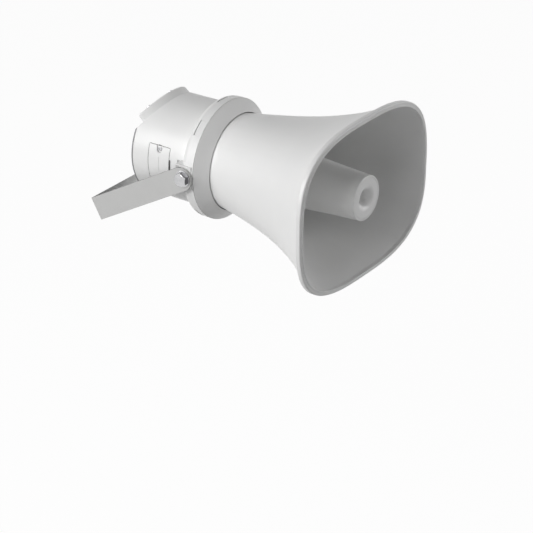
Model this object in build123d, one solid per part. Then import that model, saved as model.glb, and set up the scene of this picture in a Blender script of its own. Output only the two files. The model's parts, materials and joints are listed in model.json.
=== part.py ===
from build123d import *
import os
from math import cos, pi, radians, sin, sqrt

# Horn loudspeaker with a folded horn, a driver and a circuit board in its rear housing,
# hung in a U-shaped bracket. Millimetres. The horn lies along Y, its mouth faces -Y and
# Z is up. Places along the horn are counted from the mouth plane. The finished pieces are
# shifted at the end, so that the origin is the bracket's centre wall hole.

# Mouth and bell
mouth_width = 275.0
mouth_height = 208.0
mouth_squareness = 3.0
bell_length = 185.0
bell_wall = 3.0
neck_radius = 61.0
flare_straight_share = 0.54
flare_power_wide = 2.76
flare_power_high = 3.87
squareness_power = 1.36
outline_points = 28
flare_stations = 10
slope_step = 1.0
neck_overlap = 2.0
rim_inner_start = 1.0
rim_depth = 6.0
rim_width = 6.0
rim_outer_round = 2.0
lip_width = 1.9
lip_rise = 0.7
lip_round = 0.42
back_wall = 6.0
neck_insertion = 11.0
throat_radius = 9.0
bowl_round = 4.5
bell_screw_count = 6

# Reflector, its cap and the tone tube inside it
reflector_front_radius = 28.1
reflector_rear_radius = 43.0
reflector_bow = 2.0
reflector_front_rise = 0.4
reflector_length = 166.0
reflector_wall = 2.2
reflector_end_round = 0.88
cap_rim_wall = 2.2
cap_thickness = 3.0
cap_fit = 0.25
ledge_width = 3.6
dimple_radius = 8.5
dimple_round = 9.5
dimple_depth = 14.0
dimple_wall = 2.6
dimple_floor_round = 4.0
cap_edge_round = 0.5
cap_back_round = 5.2
cap_tip_round = 1.5
tube_front_radius = 15.5
tube_wall = 2.2
tube_front_place = 27.0
tube_flange_radius = 26.0
tube_flange_thickness = 5.0
tube_root_round = 4.0
tube_screw_inset = 5.0
tube_lip_round = 0.88
spider_boss_radius = 5.5
spider_length = 14.0
reflector_screw_reach = 11.2
rib_thickness = 2.5
fin_start = 63.0
fin_length = 60.0
rib_count = 3

# Collar ring and housing
collar_gap = 1.1
collar_radius = 77.0
collar_cone_length = 14.6
shell_wall = 3.0
skirt_end = 210.0
shoulder_length = 10.0
housing_radius = 66.0
housing_rear_radius = 65.3
housing_end = 303.0
seam_gap = 0.4
spigot_fit = 0.3
spigot_wall = 2.7
spigot_length = 10.5
bulkhead_thickness = 4.0
bulkhead_hole_radius = 45.0
window_length = 21.0
window_width = 8.0
window_setback = 3.0
window_clearance = 0.2
window_angles = (48.0, 90.0, 132.0, 228.0, 270.0, 312.0)
hook_setback = 0.4
hook_root = 0.5
boss_slot_gap = 0.6
gasket_inset = 1.0
facet_height = 33.0
facet_angle = 38.66
rear_plate_thickness = 2.0
rear_lip = 3.0
rear_opening_radius = 50.0
rear_opening_top = 22.0
plate_boss_wall = 2.6
plate_boss_length = 8.0
plate_screw_bite = 5.0
standoff_screw_bite = 7.0
edge_round = 0.6
collar_front_round = 0.2
collar_edge_round = 0.3
spigot_round = 0.5

# Bracket and pivots
pivot_place = 211.1
block_face = 77.6
block_height = 30.0
block_start = 202.0
block_length = 23.0
block_chamfer = 0.4
boss_end_wall = 1.0
arm_width = 30.0
arm_thickness = 3.0
arm_length = 160.5
arm_end_reach = 11.5
arm_drop_angle = 29.5
arm_hole_radius = 5.25
bend_round = 2.0
running_gap = 0.05
friction_washer_thickness = 1.0
friction_washer_radius = 11.5
lock_washer_thickness = 1.2
lock_washer_radius = 10.4
washer_round = 0.3
bolt_radius = 4.95
bolt_head_flats = 16.0
bolt_head_height = 5.8
bolt_corner_reach = 0.45
bolt_fit = 0.05
bolt_clearance = 0.3
bolt_hole_reach = 2.0
bolt_into_insert = 12.0
insert_radius = 7.0
insert_length = 14.0
insert_depth = 2.0
boss_wall = 2.2
wall_hole_radius = 5.25
side_hole_radius = 3.5
side_hole_spacing = 100.0

# Covers on the housing
cover_height = 11.0
cover_inset = 1.5
cover_wall = 3.0
cover_lower_edge = 8.5
cover_corner_round = 4.0
cover_top_round = 2.0
cover_opening_inset = 9.0
seal_width = 1.4
seal_depth = 1.2
seal_inset = 0.8
cover_boss_radius = 4.2
cover_boss_length = 5.0
cover_post_radius = 4.4
cover_post_gap = 0.5
cover_post_inset = 1.0
cover_screw_bite = 5.0
cover_hole_depth = 6.0
cover_screw_places = ((-33.0, 20.0), (33.0, 20.0), (0.0, 34.0))
hatch_start = 244.2
hatch_length = 32.8
hatch_height = 48.4
hatch_thickness = 2.0
hatch_gap = 0.3
hatch_seat = 4.0
hatch_corner_round = 1.5
hatch_band = 24.0
hatch_screw_head = 1.0
hatch_screw_length = 7.5
hatch_pocket_wall = 0.9
hatch_pocket_floor = 1.0
hatch_boss_wall = 1.2
hatch_boss_length = 8.0
notch_width = 8.5
notch_depth = 9.0
notch_sink = 1.2
hatch_line_width = 0.5
hatch_line_length = 20.0
hatch_line_depth = 0.3
pry_slot_width = 3.0
pry_slot_length = 20.0
pry_slot_depth = 2.0
pry_slot_overlap = 0.3
mark_length = 12.4
mark_height = 6.2
mark_place = (219.6, 7.4)
mark_depth = 0.8
plate_screw_places = ((-46.0, -32.0), (46.0, -32.0), (-49.0, 18.0), (49.0, 18.0))

# Cable gland in the rear plate
gland_drop = 34.0
gland_thread_radius = 8.0
gland_flats = 22.0
gland_hex_height = 5.0
gland_nut_radius = 10.0
gland_nut_length = 12.0
gland_bore = 5.0
gland_locknut_height = 4.0
gland_thread_end = 1.0
gland_thread_fit = 0.2
gland_tube_radius = 6.2
gland_collar_radius = 7.8
gland_collar_length = 8.0
gland_nut_fit = 0.05
gland_nut_round = 3.5
gland_flute_radius = 0.8
gland_flute_end = 4.5
gland_flute_count = 10
gland_seal_start = 2.0
gland_seal_hole = 3.0

# Driver
driver_flange_radius = 43.0
driver_flange_thickness = 4.0
driver_radius = 35.0
driver_cover_length = 16.0
driver_cavity_radius = 31.0
driver_corner_round = 0.5
driver_edge_round = 1.0
driver_front_round = 0.6
driver_roof_round = 2.0
driver_screw_radius = 39.3
driver_roof = 3.0
plug_seat_width = 5.5
plug_seat_ledge = 2.2
throat_lead = 1.0
gasket_thickness = 1.0
gasket_hole_fit = 0.6
coil_radius = 17.0
coil_gap = 0.8
top_plate_thickness = 5.0
magnet_thickness = 12.0
magnet_bore = 21.0
magnet_overhang = 1.0
magnet_chamfer = 1.0
yoke_thickness = 5.0
yoke_round = 1.0
pole_round = 0.5
pole_setback = 0.2
dome_height = 5.5
film_thickness = 0.5
dome_lift = 0.9
surround_lift = 0.6
surround_inner = 19.9
surround_fit = 0.3
dome_flange_overlap = 1.4
dome_flange_inset = 0.6
dome_rim_overlap = 0.4
roll_radius = 2.6
clamp_inner = 27.0
former_wall = 0.5
former_length = 8.5
winding_wall = 0.6
winding_length = 5.0
plug_radius = 6.4
plug_length = 7.0
plug_web = 1.6
plug_band = 2.0
plug_band_length = 3.0
plug_bulge = (0.72, 0.42)

# Circuit board
board_place = 265.0
board_thickness = 1.6
board_radius = 57.0
board_flat = 50.0
standoff_radius = 3.4
standoff_places = ((-34.0, -28.0), (34.0, -28.0), (-34.0, 12.0), (34.0, 12.0))
jack_size = (16.0, 16.0, 14.0)
jack_place = (0.0, 32.0)
jack_mouth = (11.8, 7.0)
jack_back_wall = 4.0
jack_key = (3.9, 3.0)
terminal_size = (15.0, 11.0, 10.0)
terminal_places = ((-25.0, 32.0), (25.0, 32.0))
terminal_hole = (1.5, 6.0)
terminal_pitch = 4.7
terminal_hole_drop = 1.0
capacitor_radius = 5.0
capacitor_length = 14.0
capacitor_round = 0.6
capacitor_places = ((-18.0, -6.0), (-18.0, -19.0), (-18.0, -32.0))
coil_core_radius = 9.0
coil_core_height = 8.0
coil_core_hole = 3.75
coil_core_round = 2.0
coil_core_place = (2.0, -12.0)
sink_size = (26.0, 12.0, 20.0)
sink_place = (16.0, -36.0)
sink_fins = 6
sink_base = 2.5
sink_fin = 1.4
chip_size = (14.0, 1.6, 14.0)
chip_place = (0.0, 8.0)
button_base = (6.2, 3.4, 6.2)
button_place = (18.0, 8.0)
button_radius = 1.75
button_travel = 0.4
button_length = 4.0
button_well_floor = 1.0
button_fit = 0.15
button_rest_gap = 0.1
button_round = 0.4
lead_radius = 0.9
lead_spacing = 8.0
lead_rise = 6.0
lead_bend_share = 0.3
terminal_strip = (18.0, 7.0, 5.0)
tag_size = (3.0, 7.0, 0.8)

# Screw sizes: shank radius, head radius, head height
small_screw = (1.45, 2.8, 1.9)
large_screw = (1.95, 3.7, 2.6)
screw_fit = 0.05
screw_bite = 5.0
screw_tip_gap = 1.0
head_fit = 0.2
head_round_share = 0.4
cross_length_share = 1.1
cross_width_share = 0.5
cross_depth_share = 0.45
past = 1.0
clearance_hole = 0.35

# Places worked out from the sizes above
bell_back = bell_length + neck_insertion
back_wall_front = bell_back - back_wall
bulkhead_back = bell_back + bulkhead_thickness
collar_hole_radius = neck_radius + collar_gap
cone_end = bell_length + collar_cone_length
housing_start = cone_end + seam_gap
skirt_inner = collar_radius - shell_wall
shoulder_end = skirt_end + shoulder_length
plate_front = housing_end - rear_plate_thickness
lip_back = plate_front - seam_gap
lip_front = lip_back - rear_lip
reflector_front = -reflector_front_rise
reflector_rear = reflector_front + reflector_length
cusp_tip = reflector_front + dimple_depth + dimple_wall
tube_flange_front = back_wall_front - tube_flange_thickness
cover_start = bell_back + gasket_thickness
top_plate_front = cover_start + driver_cover_length
top_plate_back = top_plate_front + top_plate_thickness
magnet_back = top_plate_back + magnet_thickness
yoke_back = magnet_back + yoke_thickness
board_back = board_place + board_thickness
arm_inner = block_face + friction_washer_thickness + 2 * running_gap
arm_outer = arm_inner + arm_thickness
insert_start = skirt_inner - insert_depth
boss_end = insert_start - insert_length - boss_end_wall
facet_out = Vector(0, cos(radians(facet_angle)), sin(radians(facet_angle)))
wall_hole_place = (
    pivot_place + arm_length * cos(radians(arm_drop_angle)),
    -arm_length * sin(radians(arm_drop_angle)),
)


# Helpers

def lathe(*points, radii=None):
    """Solid of revolution about the horn's axis, from points given as radius and place."""
    line = FilletPolyline(*points, radius=radii, close=True) if radii else Polyline(*points, close=True)
    return revolve(make_face(line), Axis.Y)


def ring(start, end, outer, inner=0.0):
    """Plain ring or disc about the horn's axis."""
    return lathe((inner, start), (outer, start), (outer, end), (inner, end))


def rod(place, direction, radius, length):
    """Round bar that starts at a place and runs in a direction."""
    return extrude(Plane(origin=place, z_dir=direction) * Circle(radius), length)


def hexagon(place, direction, flats, height, hole=0.0):
    """Hexagonal prism across the given flats, with a round hole if one is named."""
    corner = flats / sqrt(3)
    face = Plane(origin=place, x_dir=(0, 0, 1), z_dir=direction) * RegularPolygon(corner, 6)
    solid = extrude(face, height)
    return solid - rod(place, direction, hole, height) if hole else solid


def block(center, size):
    """Box about a centre."""
    return Pos(*center) * Box(*size)


def screw(place, direction, size, length):
    """Pan-head screw: place is under the head, direction points from the head to the tip."""
    shank, head, height = size
    back = Vector(*place) - Vector(*direction) * height
    cap = rod(back, direction, head, height)
    cap = fillet(cap.edges().sort_by(Axis(back, direction))[0], height * head_round_share)
    cross_length, cross_width = head * cross_length_share, shank * cross_width_share
    cross_depth = height * cross_depth_share
    cross = Box(cross_length, cross_width, 2 * cross_depth) + Box(cross_width, cross_length, 2 * cross_depth)
    return cap - Plane(origin=back, z_dir=direction) * cross + rod(place, direction, shank, length)


def mirrored(solid):
    """The same piece on the other side of the horn's middle plane."""
    return mirror(solid, about=Plane.YZ)


def facet_plane(rise=0.0):
    """Plane of the slanted rear facet, its local Y running up the slope."""
    origin = Vector(0, housing_end, facet_height) + facet_out * rise
    return Plane(origin=origin, x_dir=(-1, 0, 0), z_dir=facet_out)


def rear_opening(start, end):
    """Block that cuts the housing's rear opening, round below and straight on top."""
    middle = (start + end) / 2
    width = 2 * housing_radius
    upper = block((0, middle, rear_opening_top - housing_radius), (width, end - start, width))
    return ring(start, end, rear_opening_radius) & upper


def side_block(start, length, low, height):
    """Block across the housing's left wall, between two places and two heights."""
    center = (-housing_radius, start + length / 2, low + height / 2)
    return block(center, (housing_radius, length, height))


def below_facet(rise=0.0):
    """Large block that holds everything in front of the facet plane."""
    reach = 4 * housing_end
    return facet_plane(rise) * Pos(0, 0, -reach / 2) * Box(reach, reach, reach)


def save(name, solid):
    """Write one piece, shifted so that the origin is the bracket's centre wall hole."""
    place = Pos(0, -wall_hole_place[0], -wall_hole_place[1])
    solids = [place * one for one in solid.solids()]
    export_step(solids[0] if len(solids) == 1 else Compound(children=solids), f"parts/{name}.step")


# Bell

def flare(place):
    """Half width, half height and squareness of the bell's outside at a place."""
    share = 1 - place / bell_length
    wide = flare_straight_share * share + (1 - flare_straight_share) * abs(share) ** flare_power_wide
    high = flare_straight_share * share + (1 - flare_straight_share) * abs(share) ** flare_power_high
    square = 2 + (mouth_squareness - 2) * max(share, 0) ** squareness_power
    half_width = neck_radius + (mouth_width / 2 - neck_radius) * wide
    half_height = neck_radius + (mouth_height / 2 - neck_radius) * high
    return half_width, half_height, square


def slanted_wall(place, side):
    """Wall measured across the horn, which grows where the flare leans outward."""
    slope = (flare(place - slope_step)[side] - flare(place)[side]) / slope_step
    return bell_wall * sqrt(1 + slope ** 2)


def outline(place, half_width, half_height, square):
    """Closed rounded-rectangle outline in a plane across the horn."""
    points = []
    for index in range(outline_points):
        angle = 2 * pi * index / outline_points
        across = abs(cos(angle) / half_width) ** square
        upward = abs(sin(angle) / half_height) ** square
        reach = (across + upward) ** (-1 / square)
        points.append((reach * cos(angle), place, reach * sin(angle)))
    return Wire([Spline(*points, periodic=True)])


def flare_solid(start, inward):
    """Solid horn flare from a place at the mouth; inward is 1 for its inside, 0 for its outside."""
    end = bell_length + neck_overlap
    wires = []
    for index in range(flare_stations + 1):
        place = end + (start - end) * index / flare_stations
        half_width, half_height, square = flare(place)
        half_width -= inward * slanted_wall(place, 0)
        half_height -= inward * slanted_wall(place, 1)
        wires.append(outline(place, half_width, half_height, square))
    return Solid.make_loft(wires)


def rim_ring(start, end, outer_inset, inner_inset):
    """Straight band that follows the mouth between two insets from its edge."""
    half_width, half_height = mouth_width / 2, mouth_height / 2
    bands = []
    for inset in (outer_inset, inner_inset):
        wire = outline(end, half_width - inset, half_height - inset, mouth_squareness)
        bands.append(extrude(Face(wire), end - start, dir=(0, -1, 0)))
    return bands[0] - bands[1]


def mouth_rim():
    """Rim around the mouth: a rounded outer bead with a fine lip along its inner edge."""
    rim = rim_ring(-lip_rise, rim_depth, 0, rim_width)
    rim -= rim_ring(-lip_rise, 0, -rim_width, rim_width - lip_width)
    face_edges = rim.edges().filter_by_position(Axis.Y, -lip_rise / 4, lip_rise / 4)
    rim = fillet(face_edges.sort_by(SortBy.LENGTH)[-1], rim_outer_round)
    return fillet(rim.edges().group_by(Axis.Y)[0], lip_round)


def horn_bell():
    """Flare with its rim, a straight neck and a closed rear wall with a throat hole."""
    neck_start = bell_length - neck_overlap
    bowl = neck_radius - bell_wall
    bell = flare_solid(rim_inner_start, 0) + ring(neck_start, bell_back, neck_radius)
    bell -= flare_solid(-rim_depth, 1)
    bell -= lathe((0, neck_start), (bowl, neck_start), (bowl, back_wall_front), (0, back_wall_front),
                  radii=(0, 0, bowl_round, 0))
    bell += mouth_rim()
    bell -= ring(back_wall_front, bell_back, throat_radius)
    for place in bell_screw_spots() + driver_screw_spots():
        bell -= rod(place, (0, -1, 0), large_screw[0] + screw_fit, screw_bite)
    for place in tube_screw_spots():
        bell -= rod(place, (0, 1, 0), small_screw[0] + screw_fit, screw_bite)
    return bell


def polar_spots(count, radius, place, start_angle):
    """Evenly spaced places on a circle across the horn."""
    spots = []
    for index in range(count):
        angle = radians(start_angle + 360 * index / count)
        spots.append((radius * cos(angle), place, radius * sin(angle)))
    return spots


def bell_screw_spots():
    return polar_spots(bell_screw_count, (bulkhead_hole_radius + neck_radius) / 2, bell_back, 30)


def driver_screw_spots():
    return polar_spots(4, driver_screw_radius, bell_back, 45)


def tube_screw_spots():
    return polar_spots(rib_count, tube_flange_radius - tube_screw_inset, back_wall_front, 90)


# Folded horn inside the bell

def reflector_arc(inset, start, end):
    """Bowed line of the reflector's side, moved inward by an inset."""
    middle = (start + end) / 2
    lean = (reflector_rear_radius - reflector_front_radius) / reflector_length

    def radius_at(place):
        share = (place - reflector_front) / reflector_length
        chord = reflector_front_radius + lean * (place - reflector_front)
        return chord - 4 * reflector_bow * share * (1 - share) - inset

    return ThreePointArc((radius_at(start), start), (radius_at(middle), middle), (radius_at(end), end))


def reflector_body(inset, start, end):
    """Filled body of the reflector between two places."""
    side = reflector_arc(inset, start, end)
    first, last = side @ 0, side @ 1
    rest = Polyline((last.X, last.Y), (0, end), (0, start), (first.X, first.Y))
    return revolve(make_face([side, rest]), Axis.Y)


def reflector():
    seat = reflector_front + cap_thickness
    ledge_end = seat + reflector_wall
    recess_radius = reflector_front_radius - cap_rim_wall
    shell = reflector_body(0, reflector_front, reflector_rear)
    shell = fillet(shell.edges().group_by(Axis.Y)[0], edge_round)
    shell -= reflector_body(reflector_wall, ledge_end, reflector_rear)
    shell -= ring(reflector_front, seat, recess_radius)
    shell -= ring(seat, ledge_end, recess_radius - ledge_width)
    return fillet(shell.edges().group_by(Axis.Y)[-1], reflector_end_round)


def reflector_cap():
    seat = reflector_front + cap_thickness
    rim = reflector_front_radius - cap_rim_wall - cap_fit
    floor = reflector_front + dimple_depth
    cusp = dimple_radius + dimple_wall
    cap = lathe(
        (0, floor), (dimple_radius, floor), (dimple_radius, reflector_front), (rim, reflector_front),
        (rim, seat), (cusp, seat), (cusp, cusp_tip), (0, cusp_tip),
        radii=(0, dimple_floor_round, dimple_round, cap_edge_round, 0, cap_back_round, cap_tip_round, 0),
    )
    return cap - ring(floor, cusp_tip, small_screw[0] + clearance_hole)


def reflector_screw():
    floor = reflector_front + dimple_depth
    return screw((0, floor, 0), (0, 1, 0), small_screw, dimple_wall + reflector_screw_reach)


def tone_tube():
    """Tapered tube behind the reflector, with its flange, three fins and the spider in its front."""
    tube_back_radius = throat_radius + tube_wall
    tube = lathe((0, tube_front_place), (tube_front_radius + tube_wall, tube_front_place),
                 (tube_back_radius, tube_flange_front), (tube_flange_radius, tube_flange_front),
                 (tube_flange_radius, back_wall_front), (0, back_wall_front),
                 radii=(0, tube_lip_round, tube_root_round, 0, 0, 0))
    fin_space = reflector_body(reflector_wall + cap_fit, fin_start, fin_start + fin_length)
    spider_space = ring(tube_front_place, tube_front_place + spider_length, tube_front_radius + tube_wall / 2)
    arms = []
    for index in range(rib_count):
        turn = Rot(0, 360 * index / rib_count - 90, 0)
        fin = Pos(reflector_rear_radius / 2, fin_start + fin_length / 2, 0)
        tube += turn * fin * Box(reflector_rear_radius, fin_length, rib_thickness) & fin_space
        arm = Pos(tube_front_radius / 2, tube_front_place + spider_length / 2, 0)
        bar = Box(tube_front_radius + tube_wall, spider_length, rib_thickness)
        arms.append(turn * arm * bar & spider_space)
    tube -= lathe((0, tube_front_place), (tube_front_radius, tube_front_place),
                  (throat_radius, back_wall_front), (0, back_wall_front))
    tube += [ring(cusp_tip, tube_front_place + spider_length, spider_boss_radius)] + arms
    tube -= ring(cusp_tip, cusp_tip + spider_length, small_screw[0] + screw_fit)
    for place in tube_screw_spots():
        start = (place[0], tube_flange_front, place[2])
        tube -= rod(start, (0, 1, 0), small_screw[0] + clearance_hole, tube_flange_thickness)
    return tube


def tone_tube_screws():
    length = tube_flange_thickness + screw_bite - screw_tip_gap
    screws = []
    for place in tube_screw_spots():
        screws.append(screw((place[0], tube_flange_front, place[2]), (0, 1, 0), small_screw, length))
    return Compound(children=screws)


# Collar ring and housing

def window_block(clearance, radius_in, radius_out, start, width):
    """Block that cuts or fills one window in the skirt, centred on +X."""
    middle = (radius_in + radius_out) / 2
    length = window_length - 2 * clearance
    return block((middle, start + width / 2, 0), (radius_out - radius_in, width, length))


def collar_ring():
    lean = (collar_radius - collar_hole_radius) / collar_cone_length
    wall_step = shell_wall * sqrt(1 + lean ** 2) / lean
    inner_cone_start = bell_length + wall_step
    inner_radius = collar_hole_radius + lean * (bell_back - inner_cone_start)
    spigot_outer = skirt_inner - spigot_fit
    spigot_inner = spigot_outer - spigot_wall
    spigot_end = cone_end + spigot_length
    body = lathe(
        (collar_hole_radius, bell_length), (collar_radius, cone_end), (spigot_outer, cone_end),
        (spigot_outer, spigot_end), (spigot_inner, spigot_end), (spigot_inner, bulkhead_back),
        (bulkhead_hole_radius, bulkhead_back), (bulkhead_hole_radius, bell_back),
        (inner_radius, bell_back), (collar_hole_radius, inner_cone_start),
        radii=(collar_front_round, collar_edge_round, 0, spigot_round, spigot_round, 0, 0, 0, 0, 0),
    )
    rim_end = skirt_inner + shell_wall - hook_setback
    width = window_width - 2 * window_clearance
    start = housing_start + window_setback + window_clearance
    for angle in window_angles:
        hook = window_block(window_clearance, spigot_inner + hook_root, collar_radius, start, width)
        body += (Rot(0, -angle, 0) * hook) & ring(cone_end, spigot_end, rim_end, spigot_inner + hook_root)
    boss_radius = insert_radius + boss_wall + boss_slot_gap
    for side in (-1, 1):
        slot = block((side * collar_radius, pivot_place + boss_radius, 0),
                     (collar_radius, 4 * boss_radius, 2 * boss_radius))
        slot &= ring(bulkhead_back + past, housing_end, skirt_inner)
        body -= slot
    for place in bell_screw_spots():
        body -= rod(place, (0, 1, 0), large_screw[0] + clearance_hole, bulkhead_thickness)
    return body


def bell_screws():
    screws = []
    for place in bell_screw_spots():
        start = (place[0], bulkhead_back, place[2])
        screws.append(screw(start, (0, -1, 0), large_screw, bulkhead_thickness + screw_bite - screw_tip_gap))
    return Compound(children=screws)


def housing_gasket():
    return ring(cone_end, housing_start, collar_radius - gasket_inset, skirt_inner)


def housing_body(inset):
    """Filled body of the housing inside its outer surface by an inset, before any flat is cut."""
    front, back = housing_radius - inset, housing_rear_radius - inset
    skirt = collar_radius - inset
    curve = EllipticalCenterArc((front, skirt_end), skirt - front, shoulder_length, 0, arc_size=90)
    rest = Polyline((front, shoulder_end), (back, housing_end), (0, housing_end), (0, housing_start),
                    (skirt, housing_start), (skirt, skirt_end))
    return revolve(make_face([curve, rest]), Axis.Y)


def hatch_box(gap, depth):
    """Block that bounds the side hatch, larger or smaller by a gap."""
    center = (-housing_radius, hatch_start + hatch_length / 2, 0)
    box = block(center, (depth * 2, hatch_length - 2 * gap, hatch_height - 2 * gap))
    return fillet(box.edges().filter_by(Axis.X), hatch_corner_round)


def pivot_block():
    """Flat pad that carries the friction washer and the bolt's boss inside the housing."""
    pad = block((block_face / 2, block_start + block_length / 2, 0), (block_face, block_length, block_height))
    pad = chamfer(pad.edges().filter_by(Axis.Z).group_by(Axis.X)[-1], block_chamfer)
    boss = rod((boss_end, pivot_place, 0), (1, 0, 0), insert_radius + boss_wall, block_face - boss_end)
    return pad - housing_body(shell_wall) + boss


def rear_housing():
    shell = housing_body(0) & below_facet() & ring(housing_start, lip_back, collar_radius)
    shell -= housing_body(shell_wall) & below_facet(-shell_wall) & ring(0, lip_front, collar_radius)
    shell -= rear_opening(lip_front - past, lip_back + past)
    shell -= extrude(facet_plane(-2 * shell_wall) * cover_outline(cover_opening_inset), 4 * shell_wall)
    shell -= cover_seal()
    window_start = housing_start + window_setback
    for angle in window_angles:
        cut = window_block(0, skirt_inner - past, collar_radius + past, window_start, window_width)
        shell -= Rot(0, -angle, 0) * cut
    for solid in (pivot_block(), mirrored(pivot_block())):
        shell += solid
    for solid in rear_bosses():
        shell += solid
    for solid in hatch_cuts() + rear_holes():
        shell -= solid
    for spot in hatch_screw_spots():
        shell -= hatch_pocket(spot, notch_width / 2 + hatch_pocket_wall + hatch_gap, hatch_pocket_floor)
        shell += hatch_boss(spot)
        shell -= rod(spot, (1, 0, 0), small_screw[0] + screw_fit, hatch_boss_length)
    return shell


def rear_bosses():
    """Bosses inside the housing for the rear plate's screws and the cover's screws."""
    bosses = []
    for x, z in plate_screw_places:
        start = (x, lip_front - plate_boss_length, z)
        bosses.append(rod(start, (0, 1, 0), large_screw[0] + plate_boss_wall, plate_boss_length))
    for x, up in cover_screw_places:
        boss = facet_plane(-shell_wall) * Pos(-x, up, 0) * Cylinder(cover_boss_radius, 2 * cover_boss_length)
        bosses.append(boss & housing_body(shell_wall / 2) & below_facet(-shell_wall / 2))
    return bosses


def hatch_cuts():
    """Seat and opening of the side hatch, the pry slot beside it and the sunk patch in front."""
    inner_height = hatch_height - 2 * hatch_seat - 2 * notch_depth
    slot_start = hatch_start + pry_slot_overlap - pry_slot_width
    slot = side_block(slot_start, pry_slot_width, -pry_slot_length / 2, pry_slot_length)
    patch = side_block(mark_place[0], mark_length, mark_place[1], mark_height)
    return [
        (housing_body(0) - housing_body(hatch_thickness + hatch_gap)) & hatch_box(0, hatch_band),
        side_block(hatch_start + hatch_seat, hatch_length - 2 * hatch_seat, -inner_height / 2, inner_height),
        slot & (housing_body(0) - housing_body(pry_slot_depth)),
        patch & (housing_body(0) - housing_body(mark_depth)),
    ]


def rear_holes():
    """Holes for the pivot bolts and their inserts and for the screws of rear plate and cover."""
    holes = []
    bolt_hole = block_face + past - boss_end + bolt_hole_reach
    for side in (-1, 1):
        outside = (side * (block_face + past), pivot_place, 0)
        holes.append(rod(outside, (-side, 0, 0), bolt_radius + bolt_clearance, bolt_hole))
        holes.append(rod((side * insert_start, pivot_place, 0), (-side, 0, 0), insert_radius, insert_length))
    screw_hole = rear_lip + plate_screw_bite + screw_tip_gap
    for x, z in plate_screw_places:
        holes.append(rod((x, lip_back, z), (0, -1, 0), large_screw[0] + screw_fit, screw_hole))
    for x, up in cover_screw_places:
        hole = facet_plane() * Pos(-x, up, 0)
        holes.append(hole * Cylinder(small_screw[0] + screw_fit, 2 * cover_hole_depth))
    return holes


# Covers

def cover_outline(inset):
    """D-shaped outline in the slanted facet, drawn inside the housing's edge."""
    slope = cos(radians(facet_angle))
    radius = housing_radius - inset
    height = radius / slope
    center = -facet_height / slope
    oval = Pos(0, center) * Ellipse(radius, height)
    low = cover_lower_edge + inset - cover_inset
    upper = Pos(0, low + height) * Rectangle(4 * radius, 2 * height)
    shape = oval & upper
    corners = shape.vertices()
    return fillet(corners, max(cover_corner_round - inset + cover_inset, edge_round))


def cover_seal():
    """Ring under the cover's wall: the groove in the facet and the seal that fills it."""
    inset = cover_inset + seal_inset
    face = facet_plane(-seal_depth) * (cover_outline(inset) - cover_outline(inset + seal_width))
    return extrude(face, seal_depth)


def connection_cover():
    shell = extrude(facet_plane() * cover_outline(cover_inset), cover_height)
    top_edges = shell.edges().group_by(Axis((0, 0, 0), facet_out))[-1]
    shell = fillet(top_edges, cover_top_round)
    shell -= extrude(facet_plane() * cover_outline(cover_inset + cover_wall), cover_height - cover_wall)
    for x, up in cover_screw_places:
        spot = facet_plane() * Pos(-x, up, 0)
        post = spot * Pos(0, 0, cover_height / 2) * Cylinder(cover_post_radius, cover_height)
        room = facet_plane() * cover_outline(cover_inset + cover_post_inset)
        shell += post & extrude(room, cover_height - cover_post_gap)
        shell -= spot * Cylinder(small_screw[0] + clearance_hole, 3 * cover_height)
    return shell


def cover_gasket():
    return cover_seal()


def cover_screws():
    screws = []
    for x, up in cover_screw_places:
        place = facet_plane(cover_height).from_local_coords(Vector(-x, up, 0))
        screws.append(screw(place, facet_out * -1, small_screw, cover_height + cover_screw_bite))
    return Compound(children=screws)


def hatch_screw_spots():
    """Places under the heads of the two hatch screws."""
    middle = hatch_start + hatch_length / 2
    reach = hatch_height / 2 - notch_depth + notch_width / 2
    across = sqrt((housing_radius - notch_sink) ** 2 - reach ** 2) - hatch_pocket_wall
    return [(-across, middle, sign * reach) for sign in (-1, 1)]


def hatch_pocket(spot, radius, floor):
    """Round bar from outside the housing to a floor behind the seat of a hatch screw's head."""
    start = (-collar_radius, spot[1], spot[2])
    return rod(start, (1, 0, 0), radius, collar_radius + spot[0] + floor)


def hatch_boss(spot):
    """Cup inside the housing that takes the hatch's pocket and its screw."""
    radius = notch_width / 2 + hatch_pocket_wall + hatch_gap
    boss = hatch_pocket(spot, radius + hatch_boss_wall, hatch_boss_length)
    boss &= housing_body(hatch_thickness + hatch_gap)
    return boss - hatch_pocket(spot, radius, hatch_pocket_floor)


def side_hatch():
    """Curved hatch with a sunk pocket for a screw at each end and a fine groove in its middle."""
    filled = housing_body(0) & hatch_box(hatch_gap, hatch_band)
    hatch = filled - housing_body(hatch_thickness)
    middle = hatch_start + hatch_length / 2
    for spot in hatch_screw_spots():
        hatch += hatch_pocket(spot, notch_width / 2 + hatch_pocket_wall, hatch_pocket_floor) & filled
        end = spot[2] + (notch_depth if spot[2] > 0 else -notch_depth)
        slot = block((spot[0] - collar_radius / 2, middle, (spot[2] + end) / 2),
                     (collar_radius, notch_width, notch_depth))
        hatch -= slot + hatch_pocket(spot, notch_width / 2, 0)
        hatch -= hatch_pocket(spot, small_screw[0] + clearance_hole, hatch_boss_length)
    line_start = middle - hatch_line_width / 2
    line = side_block(line_start, hatch_line_width, -hatch_line_length / 2, hatch_line_length)
    return hatch - (line & (housing_body(0) - housing_body(hatch_line_depth)))


def hatch_screws():
    low_head = (small_screw[0], small_screw[1], hatch_screw_head)
    screws = [screw(spot, (1, 0, 0), low_head, hatch_screw_length) for spot in hatch_screw_spots()]
    return Compound(children=screws)


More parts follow.
